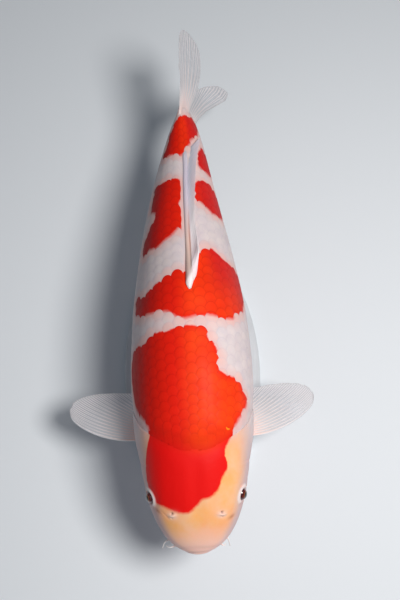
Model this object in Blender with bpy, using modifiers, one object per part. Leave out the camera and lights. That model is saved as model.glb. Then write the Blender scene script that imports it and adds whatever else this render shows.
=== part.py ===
"""Koi carp of the white and red kind, life size, held still on a plain display stand.

The fish swims along -Y with its back up, so its left side is on +X.  The origin is the middle
of the stand's underside.  "Along" is the distance from the snout as a share of the standard
length, and "turn" is the angle round a body section: 0 on the left flank, 90 on the back.
"""
import math

import bmesh
import bpy
import numpy as np
from mathutils import Matrix, Vector

MM = 0.001

# Driving dimensions
STANDARD_LENGTH = 0.500          # snout to the end of the tail stalk
STAND_CENTRE_ALONG = 0.45        # the stand is under the fish's centre of weight
AXIS_HEIGHT = 0.130              # the body's axis above the surface that the stand is on
GAP = 0.0003                     # between neighbouring pieces
BODY_END = 1.02                  # where the flesh of the tail stalk runs out between the rays

SECTION_POINTS = 36              # points round a body section
EYE_RADIUS = 0.007
EYE_ALONG = 0.112
EYE_TURN = 23.0
EYE_SUNK = 0.0034                # from the body's surface down to the eye's centre

# The oval that parts each gill cover from the head
GILL_HALF_HEIGHT = 0.047
GILL_HALF_LENGTH = 0.043
GILL_HALF_DEPTH = 0.030
GILL_ALONG = 0.245
GILL_ASIDE = 0.066
GILL_BELOW_AXIS = 0.010

BASE_LENGTH = 0.330
BASE_WIDTH = 0.166
BASE_THICKNESS = 0.012
ROD_RADIUS = 0.004
ROD_TOP_BELOW_AXIS = 0.035       # inside the belly, which then trims the rod
ROD_ALONG = {"stand_rod_front": 0.345, "stand_rod_rear": 0.665}

# Body stations: (along, millimetres)
HALF_WIDTH = ((0, 0), (.03, 31), (.07, 43.5), (.12, 52), (.19, 58.5), (.25, 64), (.38, 66.5),
              (.50, 63.5), (.62, 55.5), (.75, 43.5), (.88, 29.5), (.95, 20.5), (1.0, 11), (1.02, 5))
BACK = ((0, -12), (.03, 12), (.07, 26), (.12, 39), (.19, 55), (.25, 67), (.38, 79), (.49, 80),
        (.62, 67), (.75, 51), (.88, 34), (.95, 29), (1.0, 29), (1.02, 27))
BELLY = ((0, -12), (.03, -29), (.07, -38), (.12, -48), (.20, -59), (.30, -67), (.42, -71),
         (.55, -66), (.68, -53), (.77, -43), (.88, -31), (.95, -27.5), (1.0, -28), (1.02, -26))
WIDEST_LEVEL = ((0, -12), (.12, -9), (.38, -8), (.70, -2), (1.0, 0), (1.02, 0))
SQUARENESS = ((0, 2.0), (.10, 2.35), (.30, 2.2), (.60, 2.05), (1.02, 2.0))
SIDE_BEND = ((0, 0), (.45, -1.0), (.78, -3.8), (.95, -0.5), (1.0, 2.5), (1.04, 8), (1.08, 16),
             (1.12, 21), (1.20, 27))
TWIST = ((0, 0), (.82, 0), (1.0, 13), (1.02, 14))

# Rear edge of the head and its gill covers: (turn, along)
HEAD_EDGE = ((-90, .185), (-80, .187), (-60, .215), (-35, .270), (-12, .300), (10, .290),
             (35, .243), (60, .207), (80, .188), (90, .187))
TRUNK_CUTS = (.44, .64, .83)


def smooth_profile(stations):
    """A monotone cubic through (place, value) stations, which never overshoots them."""
    place = np.array([station[0] for station in stations], dtype=float)
    value = np.array([station[1] for station in stations], dtype=float)
    step = np.diff(place)
    slope = np.diff(value) / step
    tangent = np.concatenate((slope[:1], np.zeros(len(slope) - 1), slope[-1:]))
    for index in range(1, len(slope)):
        before, after = slope[index - 1], slope[index]
        if before * after > 0:
            tangent[index] = 2 * before * after / (before + after)

    def read(at):
        at = min(max(at, place[0]), place[-1])
        index = min(int(np.searchsorted(place, at, side="right")) - 1, len(step) - 1)
        share = (at - place[index]) / step[index]
        hermite = (
            (1 + 2 * share) * (1 - share) ** 2 * value[index]
            + share * (1 - share) ** 2 * step[index] * tangent[index]
            + share ** 2 * (3 - 2 * share) * value[index + 1]
            + share ** 2 * (share - 1) * step[index] * tangent[index + 1]
        )
        return float(hermite)

    return read


def rounded_profile(stations):
    """The same over the root of the place, so that the snout end comes out round."""
    read = smooth_profile([(math.sqrt(place), value * MM) for place, value in stations])
    return lambda along: read(math.sqrt(max(along, 0.0)))


half_width = rounded_profile(HALF_WIDTH)
back_height = rounded_profile(BACK)
belly_height = rounded_profile(BELLY)
widest_level = rounded_profile(WIDEST_LEVEL)
squareness = smooth_profile(SQUARENESS)
side_bend = smooth_profile(SIDE_BEND)
twist = smooth_profile(TWIST)
head_edge = smooth_profile(HEAD_EDGE)


def length_place(along):
    """World Y of a place along the fish."""
    return (along - STAND_CENTRE_ALONG) * STANDARD_LENGTH


def body_point(along, turn, grown=0.0):
    """A point on the body's surface, or on the same surface grown outward."""
    angle = math.radians(turn)
    power = squareness(along)
    level = widest_level(along)
    rise = back_height(along) - level if angle > 0 else level - belly_height(along)
    reach = (abs(math.cos(angle)) ** power + abs(math.sin(angle)) ** power) ** (-1 / power)
    across = (half_width(along) + grown) * reach * math.cos(angle)
    up = level + (rise + grown) * reach * math.sin(angle)
    lean = math.radians(twist(along))
    x = across * math.cos(lean) - up * math.sin(lean) + side_bend(along) * MM
    z = across * math.sin(lean) + up * math.cos(lean) + AXIS_HEIGHT
    return Vector((x, length_place(along), z))


def body_normal(along, turn):
    """Outward direction of the surface."""
    small_step, small_turn = 0.002, 1.0
    along_edge = body_point(along + small_step, turn) - body_point(along - small_step, turn)
    round_edge = body_point(along, turn + small_turn) - body_point(along, turn - small_turn)
    return along_edge.cross(round_edge).normalized()


def curve_through(points, share):
    """Catmull-Rom curve through a few points, read at a share from 0 to 1."""
    points = [Vector(point) for point in points]
    spans = len(points) - 1
    index = min(int(share * spans), spans - 1)
    local = share * spans - index
    first, second = points[index], points[index + 1]
    before = points[index - 1] if index else first * 2 - second
    after = points[index + 2] if index + 2 <= spans else second * 2 - first
    return 0.5 * (
        first * 2
        + (second - before) * local
        + (before * 2 - first * 5 + second * 4 - after) * local ** 2
        + (first * 3 - before - second * 3 + after) * local ** 3
    )


# Scene and materials

def clear_scene():
    for leftover in list(bpy.data.objects):
        bpy.data.objects.remove(leftover, do_unlink=True)


def make_collection(name):
    collection = bpy.data.collections.new(name)
    bpy.context.scene.collection.children.link(collection)
    return collection


def make_material(name, colour, roughness, metallic=0.0):
    material = bpy.data.materials.new(name)
    material.use_nodes = True
    shader = material.node_tree.nodes["Principled BSDF"]
    shader.inputs["Base Color"].default_value = (*colour, 1.0)
    shader.inputs["Roughness"].default_value = roughness
    shader.inputs["Metallic"].default_value = metallic
    return material


def finish_object(name, mesh, collection, material):
    """Name, shade and file one finished mesh."""
    piece = bpy.data.objects.new(name, mesh)
    collection.objects.link(piece)
    if material:
        mesh.materials.append(material)
    mesh.shade_smooth()
    mesh.set_sharp_from_angle(angle=math.radians(40))
    return piece


def mesh_object(name, vertices, faces, collection, material):
    """Make an object from computed points, with every face turned outward."""
    mesh = bpy.data.meshes.new(name)
    mesh.from_pydata(vertices, [], faces)
    work = bmesh.new()
    work.from_mesh(mesh)
    bmesh.ops.recalc_face_normals(work, faces=work.faces)
    work.to_mesh(mesh)
    work.free()
    return finish_object(name, mesh, collection, material)


def add_boolean(piece, cutter, operation):
    modifier = piece.modifiers.new(f"{operation.lower()}_{cutter.name}", "BOOLEAN")
    modifier.operation = operation
    modifier.solver = "EXACT"
    modifier.object = cutter


def file_in(piece, collection):
    """Move an object out of the collections it is in and into another."""
    for current in list(piece.users_collection):
        current.objects.unlink(piece)
    collection.objects.link(piece)


def make_guide(piece):
    """A cutter is drawn as wire and is no part of the fish."""
    piece.hide_render = True
    piece.display_type = "WIRE"


# Body lengths

def grid_faces(rows, columns):
    """Faces between closed rows of points."""
    faces = []
    for row in range(rows - 1):
        for column in range(columns):
            following = (column + 1) % columns
            start, end = row * columns, (row + 1) * columns
            faces.append((start + column, start + following, end + following, end + column))
    return faces


def body_rings(front_edge, rear_edge, count, grown=0.0):
    """Rings of points between two edges, each edge given as along by turn."""
    rings = []
    for ring in range(count):
        share = ring / (count - 1)
        points = []
        for index in range(SECTION_POINTS):
            turn = 360.0 * index / SECTION_POINTS - 180.0
            folded = turn if abs(turn) <= 90 else math.copysign(180 - abs(turn), turn)
            front = math.sqrt(front_edge(folded))
            rear = math.sqrt(rear_edge(folded))
            points.append(body_point((front + (rear - front) * share) ** 2, turn, grown))
        rings.append(points)
    return rings


def closed_loft(name, rings, collection, material):
    """A closed solid through rings of points, with a fan of faces over each end."""
    vertices = [point for ring in rings for point in ring]
    faces = grid_faces(len(rings), SECTION_POINTS)
    for ring in (0, len(rings) - 1):
        start = ring * SECTION_POINTS
        vertices.append(sum(rings[ring], Vector()) / SECTION_POINTS)
        for column in range(SECTION_POINTS):
            following = start + (column + 1) % SECTION_POINTS
            faces.append((start + column, following, len(vertices) - 1))
    return mesh_object(name, vertices, faces, collection, material)


def make_body(collection, cutters, skin):
    """Head, trunk and tail stalk as one surface, parted by thin cuts."""
    snout = 0.00002
    behind = GAP / STANDARD_LENGTH
    cuts = [head_edge] + [lambda turn, cut=cut: cut for cut in TRUNK_CUTS]
    edges = [lambda turn: snout] + cuts + [lambda turn: BODY_END]
    names = ("head", "trunk_front", "trunk_middle", "trunk_rear", "tail_stalk")
    ring_counts = (15, 8, 8, 7, 10)
    pieces = {}
    grown_rings = []
    for index, name in enumerate(names):
        front = edges[index]
        if index:
            front = lambda turn, edge=edges[index]: edge(turn) + behind
        rear = edges[index + 1]
        rings = body_rings(front, rear, ring_counts[index])
        pieces[name] = closed_loft(name, rings, collection, skin)
        grown = body_rings(front, rear, ring_counts[index], grown=GAP)
        grown_rings += grown[1:] if index else grown
    clearance = closed_loft("body_clearance", grown_rings, cutters, None)
    make_guide(clearance)
    return pieces, clearance


# Head pieces

def make_gill_covers(head, collection, cutters, skin):
    """Part the gill covers from the head with an oval cut on each side."""
    covers = {}
    for side, sign in (("left", 1), ("right", -1)):
        cover = head.copy()
        cover.data = head.data.copy()
        cover.name = f"gill_cover_{side}"
        cover.data.materials[0] = skin
        collection.objects.link(cover)
        for grown, operation, target in ((0.0, "INTERSECT", cover), (GAP, "DIFFERENCE", head)):
            bpy.ops.mesh.primitive_cylinder_add(vertices=40, radius=1, depth=2)
            oval = bpy.context.object
            oval.name = f"gill_{side}_{operation.lower()}"
            oval.data.transform(
                Matrix.Diagonal((
                    GILL_HALF_HEIGHT + grown, GILL_HALF_LENGTH + grown, GILL_HALF_DEPTH + grown, 1
                ))
            )
            oval.data.transform(Matrix.Rotation(math.radians(90), 4, "Y"))
            place = (sign * GILL_ASIDE, length_place(GILL_ALONG), AXIS_HEIGHT - GILL_BELOW_AXIS)
            oval.data.transform(Matrix.Translation(place))
            file_in(oval, cutters)
            make_guide(oval)
            add_boolean(target, oval, operation)
        covers[side] = cover
    return covers


def make_eyes(head, collection, cutters, eye_material):
    """Round eyes in sockets that are cut into the head."""
    for side, turn in (("left", EYE_TURN), ("right", 180 - EYE_TURN)):
        centre = body_point(EYE_ALONG, turn) - body_normal(EYE_ALONG, turn) * EYE_SUNK
        for name, radius, target in (
            (f"eye_{side}", EYE_RADIUS, collection),
            (f"socket_{side}", EYE_RADIUS + GAP, cutters),
        ):
            bpy.ops.mesh.primitive_uv_sphere_add(segments=16, ring_count=10, radius=radius)
            ball = bpy.context.object
            ball.name = name
            ball.data.name = name
            ball.data.transform(Matrix.Translation(centre))
            file_in(ball, target)
            if target is cutters:
                make_guide(ball)
                add_boolean(head, ball, "DIFFERENCE")
            else:
                ball.data.materials.append(eye_material)
                ball.data.shade_smooth()


def make_barbels(collection, material):
    """Two soft feelers on each side of the mouth: one on the lip and one at its corner.

    Each is given by its root's place along and round the body, a middle point and a tip as
    steps from the root, and its radius.  Those on the left lie closer to the head.
    """
    feelers = {
        "upper": (0.018, -12.0, (0.005, -0.001, -0.002), (0.009, 0.001, -0.006), 0.0010),
        "lower": (0.034, -28.0, (0.005, -0.003, -0.004), (0.008, -0.008, -0.012), 0.0013),
    }
    taper = 0.55
    for level, (along, turn, bend, tip, radius) in feelers.items():
        for side, sign, spread in (("left", 1, 0.5), ("right", -1, 1.0)):
            place = turn if sign > 0 else 180 - turn
            root = body_point(along, place) + body_normal(along, place) * (GAP + radius * 0.4)
            route = [root] + [
                root + Vector((sign * spread * step[0], step[1], step[2])) for step in (bend, tip)
            ]
            curve = bpy.data.curves.new(f"barbel_{level}_{side}", "CURVE")
            curve.dimensions = "3D"
            curve.bevel_depth = radius
            curve.bevel_resolution = 2
            curve.use_fill_caps = True
            spline = curve.splines.new("POLY")
            steps = 8
            spline.points.add(steps - 1)
            for index in range(steps):
                share = index / (steps - 1)
                spline.points[index].co = (*curve_through(route, share), 1)
                spline.points[index].radius = 1 - taper * share
            curve.materials.append(material)
            collection.objects.link(bpy.data.objects.new(curve.name, curve))


# Fins

def fin_plate(name, surface, thickness, rows, columns, collection, material):
    """A closed plate about a curved middle surface; rows run out from the root."""
    middle = [
        [surface(row / (rows - 1), column / (columns - 1)) for column in range(columns)]
        for row in range(rows)
    ]
    sides = ([], [])
    for row in range(rows):
        for column in range(columns):
            out = middle[min(row + 1, rows - 1)][column] - middle[max(row - 1, 0)][column]
            across = middle[row][min(column + 1, columns - 1)] - middle[row][max(column - 1, 0)]
            normal = out.cross(across).normalized()
            half = thickness(row / (rows - 1), column / (columns - 1)) / 2
            sides[0].append(middle[row][column] + normal * half)
            sides[1].append(middle[row][column] - normal * half)
    count = rows * columns
    faces = []
    for row in range(rows - 1):
        for column in range(columns - 1):
            near = row * columns + column
            quad = (near, near + 1, near + columns + 1, near + columns)
            faces.append(quad)
            faces.append(tuple(index + count for index in reversed(quad)))
    rim = (
        [column for column in range(columns)]
        + [row * columns + columns - 1 for row in range(1, rows)]
        + [(rows - 1) * columns + column for column in range(columns - 2, -1, -1)]
        + [row * columns for row in range(rows - 2, 0, -1)]
    )
    for index, first in enumerate(rim):
        second = rim[(index + 1) % len(rim)]
        faces.append((second, first, first + count, second + count))
    return mesh_object(name, sides[0] + sides[1], faces, collection, material)


def fin_thickness(root, edge):
    """Thickness that falls from the root to the edge's over the first five eighths of a ray."""
    return lambda out, across: root + (edge - root) * min(out * 1.6, 1.0)


def fan_surface(root_line, edge_line, bow=(0, 0, 0)):
    """A fin's middle surface: rays from its root line to its free edge.

    The first ray bends forward by the bow at its middle, and those behind it ever less.
    """
    bow = Vector(bow)

    def surface(out, across):
        straight = curve_through(root_line, across).lerp(curve_through(edge_line, across), out)
        return straight + bow * (4 * out * (1 - out)) ** 0.7 * (1 - across) ** 1.5

    return surface


def make_pectoral_fins(collection, clearance, material):
    """Paired fins spread flat behind the gill covers; each is swept back by its own angle."""
    root_line = ((-8, -6, 0), (-8, 6, 0), (-8, 20, -1))
    edge_line = ((83, 24, -4), (84, 34, -5), (76, 44, -7), (58, 48.5, -8), (36, 48, -7), (12, 45, -5))
    bow = Vector((4.5, -14.5, 2.5))
    for side, sign, sweep in (("left", 1, 3.2), ("right", -1, -3.2)):
        place = Matrix.Translation((0, length_place(.273), AXIS_HEIGHT - 0.044))
        turned = Matrix.Rotation(math.radians(sweep), 4, "Z")
        mirrored = Matrix.Diagonal((sign, 1, 1, 1))
        hinge = Matrix.Translation((0.054, 0, 0))
        to_world = place @ mirrored @ hinge @ turned @ Matrix.Scale(MM, 4)
        surface = fan_surface(
            [to_world @ Vector(point) for point in root_line],
            [to_world @ Vector(point) for point in edge_line],
            to_world.to_3x3() @ bow,
        )
        fin = fin_plate(
            f"pectoral_fin_{side}", surface, fin_thickness(0.0028, 0.0008), 7, 15, collection, material
        )
        add_boolean(fin, clearance, "DIFFERENCE")


def make_pelvic_fins(collection, clearance, material):
    """Paired fins under the belly, half folded and pointing back."""
    root_line = ((4, -8, 6), (-4, 0, 6), (-12, 6, 6))
    edge_line = ((11, 20, -6), (20, 42, -15), (22, 58, -21), (14, 66, -23), (2, 60, -19), (-7, 40, -10))
    for side, sign in (("left", 1), ("right", -1)):
        place = Matrix.Translation((sign * 0.026, length_place(.51), AXIS_HEIGHT - 0.064))
        to_world = place @ Matrix.Diagonal((sign, 1, 1, 1)) @ Matrix.Scale(MM, 4)
        surface = fan_surface(
            [to_world @ Vector(point) for point in root_line],
            [to_world @ Vector(point) for point in edge_line],
        )
        fin = fin_plate(
            f"pelvic_fin_{side}", surface, fin_thickness(0.0024, 0.0008), 6, 11, collection, material
        )
        add_boolean(fin, clearance, "DIFFERENCE")


def make_dorsal_fin(collection, clearance, material):
    """The long back fin, folded down and leaning to the left along the back."""
    front, rear = .513, .878
    buried = 0.0015
    root_turn = smooth_profile(((0, 86.8), (.3, 88.3), (1, 88.6)))
    ray_length = smooth_profile(((0, 38), (.25, 41), (.5, 42), (.8, 36), (1, 32)))
    lean_angle = smooth_profile(((0, 62), (.25, 66), (.6, 74), (.85, 84), (1, 94)))
    rake_angle = smooth_profile(((0, 13), (.25, 11.5), (.6, 17.5), (.8, 24), (1, 38)))
    base_thickness = smooth_profile(((0, 13), (.3, 5), (1, 2.2)))
    fleshy_share = smooth_profile(((0, .8), (.25, .40), (1, .25)))
    edge_thickness = 0.0009
    rounding = 0.04

    def surface(out, across):
        along = front + (rear - front) * across
        root = body_point(along, root_turn(across)) - Vector((0, 0, buried))
        slope = (back_height(along + .02) - back_height(along - .02)) / (.04 * STANDARD_LENGTH)
        length = ray_length(across) * MM + buried / math.sin(math.radians(rake_angle(across)))
        rake = math.radians(rake_angle(across))
        lean = math.radians(lean_angle(across)) * min(out * 4.0, 1.0)
        backward = Vector((0, 1, slope)).normalized() * math.cos(rake)
        upward = Vector((math.sin(lean), 0, math.cos(lean))) * math.sin(rake)
        return root + (backward + upward) * length * out

    def thickness(out, across):
        flesh = base_thickness(across) * MM * math.exp(-((out / fleshy_share(across)) ** 2))
        return edge_thickness + flesh * math.sqrt(min(1.0, across / rounding))

    fin = fin_plate("dorsal_fin", surface, thickness, 7, 24, collection, material)
    add_boolean(fin, clearance, "DIFFERENCE")


def make_anal_fin(collection, clearance, material):
    """The short fin under the tail stalk, its rays pointing down and back."""
    front, rear = .765, .835
    buried = 0.005
    ray_length = smooth_profile(((0, 50), (.15, 57), (.5, 48), (1, 30)))
    lean = math.radians(6)

    def surface(out, across):
        along = front + (rear - front) * across
        root = body_point(along, -90) + Vector((0, 0, buried))
        rake = math.radians(38 - 8 * across)
        length = ray_length(across) * MM + buried
        direction = Vector((math.sin(lean) * out, math.cos(rake), -math.sin(rake)))
        return root + direction * length * out

    fin = fin_plate("anal_fin", surface, fin_thickness(0.003, 0.0008), 6, 9, collection, material)
    add_boolean(fin, clearance, "DIFFERENCE")


tail_lean_upper = smooth_profile(((.96, .25), (1.0, .27), (1.05, .34), (1.10, .47), (1.20, .50)))
tail_lean_lower = smooth_profile(((.96, .20), (1.05, .19), (1.08, .25), (1.106, .43), (1.13, .58)))


def tail_side(along, height):
    """Sideways place of the tail fin, which swings to the left and leans at its lower edge."""
    lean = tail_lean_upper(along) if height > 0 else tail_lean_lower(along)
    return side_bend(along) * MM - lean * height


def make_caudal_fin(collection, clearance, material):
    """The forked tail fin in two lobes, parted by a thin cut along its middle ray."""
    lobes = {
        "upper": (
            ((.985, 26), (.98, 14), (.985, 0)),
            ((1.03, 37), (1.10, 49), (1.15, 55), (1.185, 55), (1.202, 44), (1.204, 26), (1.190, 10),
             (1.150, 3), (1.095, 0)),
        ),
        "lower": (
            ((.985, -25), (.98, -13), (.985, 0)),
            ((1.02, -32), (1.06, -38), (1.106, -48), (1.140, -57), (1.158, -57), (1.152, -38),
             (1.126, -17), (1.095, 0)),
        ),
    }
    for lobe, (root_line, edge_line) in lobes.items():
        cut = GAP / 2 if lobe == "upper" else -GAP / 2

        def surface(out, across, root_line=root_line, edge_line=edge_line, cut=cut):
            root = curve_through([(along, height, 0) for along, height in root_line], across)
            edge = curve_through([(along, height, 0) for along, height in edge_line], across)
            along, height, _ = root.lerp(edge, out)
            height = height * MM
            return Vector((tail_side(along, height), length_place(along), height + cut + AXIS_HEIGHT))

        fin = fin_plate(
            f"caudal_fin_{lobe}", surface, fin_thickness(0.004, 0.0008), 8, 15, collection, material
        )
        add_boolean(fin, clearance, "DIFFERENCE")


# Stand

def make_stand(collection, clearance, base_material, rod_material):
    """A flat oval base and two short upright rods that end against the belly."""
    bpy.ops.mesh.primitive_cylinder_add(vertices=48, radius=0.5, depth=1)
    base = bpy.context.object
    base.name = "stand_base"
    base.data.transform(Matrix.Diagonal((BASE_WIDTH, BASE_LENGTH, BASE_THICKNESS, 1)))
    base.data.transform(Matrix.Translation((0, 0, BASE_THICKNESS / 2)))
    bevel = base.modifiers.new("rounded_edge", "BEVEL")
    bevel.width = 0.002
    bevel.segments = 2
    bevel.limit_method = "ANGLE"
    file_in(base, collection)
    base.data.materials.append(base_material)
    for name, along in ROD_ALONG.items():
        foot = BASE_THICKNESS + GAP
        top = AXIS_HEIGHT - ROD_TOP_BELOW_AXIS
        bpy.ops.mesh.primitive_cylinder_add(vertices=24, radius=ROD_RADIUS, depth=top - foot)
        rod = bpy.context.object
        rod.name = name
        middle = (side_bend(along) * MM, length_place(along), (top + foot) / 2)
        rod.data.transform(Matrix.Translation(middle))
        file_in(rod, collection)
        rod.data.materials.append(rod_material)
        rod.data.shade_smooth()
        rod.data.set_sharp_from_angle(angle=math.radians(40))
        add_boolean(rod, clearance, "DIFFERENCE")


def main():
    clear_scene()
    koi = make_collection("koi_carp")
    cutters = make_collection("cutters")
    white_skin = make_material("white_skin", (.80, .72, .70), 0.35)
    head_skin = make_material("head_skin", (.85, .10, .03), 0.30)
    fin_membrane = make_material("fin_membrane", (.72, .70, .72), 0.40)
    feeler_skin = make_material("feeler_skin", (.78, .72, .70), 0.40)
    eye_surface = make_material("eye_surface", (.06, .02, .02), 0.08)
    stand_paint = make_material("stand_paint", (.62, .62, .60), 0.45)
    rod_steel = make_material("rod_steel", (.60, .60, .61), 0.28, metallic=1.0)

    body, clearance = make_body(koi, cutters, white_skin)
    body["head"].data.materials[0] = head_skin
    make_gill_covers(body["head"], koi, cutters, white_skin)
    make_eyes(body["head"], koi, cutters, eye_surface)
    make_barbels(koi, feeler_skin)
    make_pectoral_fins(koi, clearance, fin_membrane)
    make_pelvic_fins(koi, clearance, fin_membrane)
    make_dorsal_fin(koi, clearance, fin_membrane)
    make_anal_fin(koi, clearance, fin_membrane)
    make_caudal_fin(koi, clearance, fin_membrane)
    make_stand(koi, clearance, stand_paint, rod_steel)


main()
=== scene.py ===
"""Looks of the koi carp: skin, scales, fins, eyes, feelers and stand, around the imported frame.

Lengths are in metres unless a comment says otherwise.  "Along" is the distance from the snout as
a share of the standard length, and "turn" is the angle in degrees round a body section: 0 on the
left flank (+X), 90 on the back, 180 on the right flank and -90 underneath.  A "folded" turn is
the same angle brought over to the left side.
"""

import math

import bpy
import numpy as np
from mathutils import Matrix, Vector


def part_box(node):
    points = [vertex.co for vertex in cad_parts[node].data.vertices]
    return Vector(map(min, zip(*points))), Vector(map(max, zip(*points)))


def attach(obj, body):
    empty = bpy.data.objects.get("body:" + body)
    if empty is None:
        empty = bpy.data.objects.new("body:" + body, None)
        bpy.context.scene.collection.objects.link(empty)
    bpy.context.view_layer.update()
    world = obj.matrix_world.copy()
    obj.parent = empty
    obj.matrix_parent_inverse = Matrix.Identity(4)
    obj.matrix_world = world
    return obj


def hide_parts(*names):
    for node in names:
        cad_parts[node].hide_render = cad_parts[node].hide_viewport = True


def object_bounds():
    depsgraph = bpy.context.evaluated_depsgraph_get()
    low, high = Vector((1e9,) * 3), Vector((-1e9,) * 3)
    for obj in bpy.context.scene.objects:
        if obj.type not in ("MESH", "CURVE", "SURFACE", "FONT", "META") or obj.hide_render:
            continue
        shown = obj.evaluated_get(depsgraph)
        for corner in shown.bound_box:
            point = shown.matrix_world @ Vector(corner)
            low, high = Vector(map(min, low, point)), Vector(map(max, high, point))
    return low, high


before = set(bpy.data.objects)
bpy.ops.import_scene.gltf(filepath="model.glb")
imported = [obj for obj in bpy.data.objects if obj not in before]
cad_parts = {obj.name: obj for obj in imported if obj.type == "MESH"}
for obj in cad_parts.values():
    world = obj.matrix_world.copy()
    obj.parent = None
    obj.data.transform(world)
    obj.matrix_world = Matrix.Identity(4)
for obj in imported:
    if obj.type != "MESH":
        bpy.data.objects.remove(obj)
CAD_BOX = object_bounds()
RANDOM = np.random.default_rng(7)
MM = 0.001

BODY_END = 1.02
EYE_ALONG, EYE_TURN = 0.112, 23.0
EYE_SUNK = 0.0034                # from the body's surface in to the eye's centre
NOSTRIL_ALONG, NOSTRIL_TURN = 0.070, 56.0
BROWN_STREAKS = ((.067, 38), (.083, 146))
DORSAL_SPAN = (.513, .878)

SNOUT_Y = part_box("head")[0].y
STANDARD_LENGTH = (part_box("tail_stalk")[1].y - SNOUT_Y) / BODY_END
LENGTH_MM = STANDARD_LENGTH / MM
EYE_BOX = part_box("eye_left")
EYE_RADIUS = (EYE_BOX[1].y - EYE_BOX[0].y) / 2

# How far the skin lies below the solid's surface, in millimetres
COAT_DEPTH = 0.75
HEAD_INSET = 0.4


# Smooth profiles and the body's surface

def smooth_profile(stations):
    """A monotone cubic through (place, value) stations, for arrays."""
    place, value = np.array(stations, dtype=float).T
    step = np.diff(place)
    slope = np.diff(value) / step
    tangent = np.concatenate((slope[:1], np.zeros(len(slope) - 1), slope[-1:]))
    for index in range(1, len(slope)):
        before, after = slope[index - 1], slope[index]
        if before * after > 0:
            tangent[index] = 2 * before * after / (before + after)

    def read(at):
        at = np.clip(at, place[0], place[-1])
        index = np.clip(np.searchsorted(place, at, side="right") - 1, 0, len(step) - 1)
        share = (at - place[index]) / step[index]
        return (
            (1 + 2 * share) * (1 - share) ** 2 * value[index]
            + share * (1 - share) ** 2 * step[index] * tangent[index]
            + share ** 2 * (3 - 2 * share) * value[index + 1]
            + share ** 2 * (share - 1) * step[index] * tangent[index + 1]
        )

    return read


def rounded_profile(stations):
    """Metres from millimetres, over the root of the place, so that the snout end is round."""
    read = smooth_profile([(math.sqrt(place), value * MM) for place, value in stations])
    return lambda along: read(np.sqrt(np.maximum(along, 0.0)))


# The body as in the solids: (along, millimetres), and degrees for the twist
half_width = rounded_profile((
    (0, 0), (.03, 31), (.07, 43.5), (.12, 52), (.19, 58.5), (.25, 64), (.38, 66.5), (.50, 63.5),
    (.62, 55.5), (.75, 43.5), (.88, 29.5), (.95, 20.5), (1.0, 11), (1.02, 5),
))
back_height = rounded_profile((
    (0, -12), (.03, 12), (.07, 26), (.12, 39), (.19, 55), (.25, 67), (.38, 79), (.49, 80),
    (.62, 67), (.75, 51), (.88, 34), (.95, 29), (1.0, 29), (1.02, 27),
))
belly_height = rounded_profile((
    (0, -12), (.03, -29), (.07, -38), (.12, -48), (.20, -59), (.30, -67), (.42, -71),
    (.55, -66), (.68, -53), (.77, -43), (.88, -31), (.95, -27.5), (1.0, -28), (1.02, -26),
))
widest_level = rounded_profile(((0, -12), (.12, -9), (.38, -8), (.70, -2), (1.0, 0), (1.02, 0)))
squareness = smooth_profile(((0, 2.0), (.10, 2.35), (.30, 2.2), (.60, 2.05), (1.02, 2.0)))
side_bend = smooth_profile((
    (0, 0), (.45, -1.0), (.78, -3.8), (.95, -0.5), (1.0, 2.5), (1.04, 8), (1.08, 16), (1.12, 21),
    (1.20, 27),
))
twist = smooth_profile(((0, 0), (.82, 0), (1.0, 13), (1.02, 14)))

# Edge of the head and gill covers: (folded turn, along)
head_edge = smooth_profile((
    (-90, .185), (-80, .187), (-60, .215), (-35, .270), (-12, .300), (10, .290), (35, .243),
    (60, .207), (80, .188), (90, .187),
))


def folded(turn):
    """A turn brought over to the left side."""
    turn = (np.asarray(turn, dtype=float) + 180) % 360 - 180
    return np.where(np.abs(turn) <= 90, turn, np.sign(turn) * (180 - np.abs(turn)))


def squared_circle(angle, power):
    """Across and up of a unit circle that is squarer for a power above 2."""
    reach = (np.abs(np.cos(angle)) ** power + np.abs(np.sin(angle)) ** power) ** (-1 / power)
    return reach * np.cos(angle), reach * np.sin(angle)


def section(along, turn):
    """Points on the body's surface about its own axis."""
    along, turn = np.broadcast_arrays(np.asarray(along, float), np.asarray(turn, float))
    across, up = squared_circle(np.radians(turn), squareness(along))
    level = widest_level(along)
    across = across * half_width(along)
    up = level + up * np.where(up > 0, back_height(along) - level, level - belly_height(along))
    lean = np.radians(twist(along))
    x = across * np.cos(lean) - up * np.sin(lean) + side_bend(along) * MM
    z = across * np.sin(lean) + up * np.cos(lean)
    return np.stack((x, world_y(along), z), axis=-1)


def world_y(along):
    return SNOUT_Y + along * STANDARD_LENGTH


def unit(vectors):
    length = np.linalg.norm(vectors, axis=-1, keepdims=True)
    return vectors / np.maximum(length, 1e-12)


def surface_axes(along, turn):
    """Unit vectors along the body, round it and out of it."""
    small_step, small_turn = 0.0015, 0.75
    along = np.maximum(along, 0.0006)
    backward = section(along + small_step, turn) - section(along - small_step, turn)
    round_edge = section(along, turn + small_turn) - section(along, turn - small_turn)
    return unit(backward), unit(round_edge), unit(np.cross(backward, round_edge))


def eye_level():
    """The body axis height at which the eye's solid is where the body's shape puts it."""
    outward = surface_axes(EYE_ALONG, EYE_TURN)[2]
    centre = section(EYE_ALONG, EYE_TURN) - outward * EYE_SUNK
    return (EYE_BOX[0].z + EYE_BOX[1].z) / 2 - centre[2]


AXIS_HEIGHT = eye_level()


def body_point(along, turn):
    return section(along, turn) + (0, 0, AXIS_HEIGHT)


# Relief of the skin over the body's plain shape, in millimetres

def smoothstep(low, high, value):
    share = np.clip((np.asarray(value, float) - low) / (high - low), 0, 1)
    return share * share * (3 - 2 * share)


def plateau(value, rise_from, rise_to, fall_from, fall_to):
    """1 between two smooth steps, 0 before and after them."""
    return smoothstep(rise_from, rise_to, value) * (1 - smoothstep(fall_from, fall_to, value))


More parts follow.
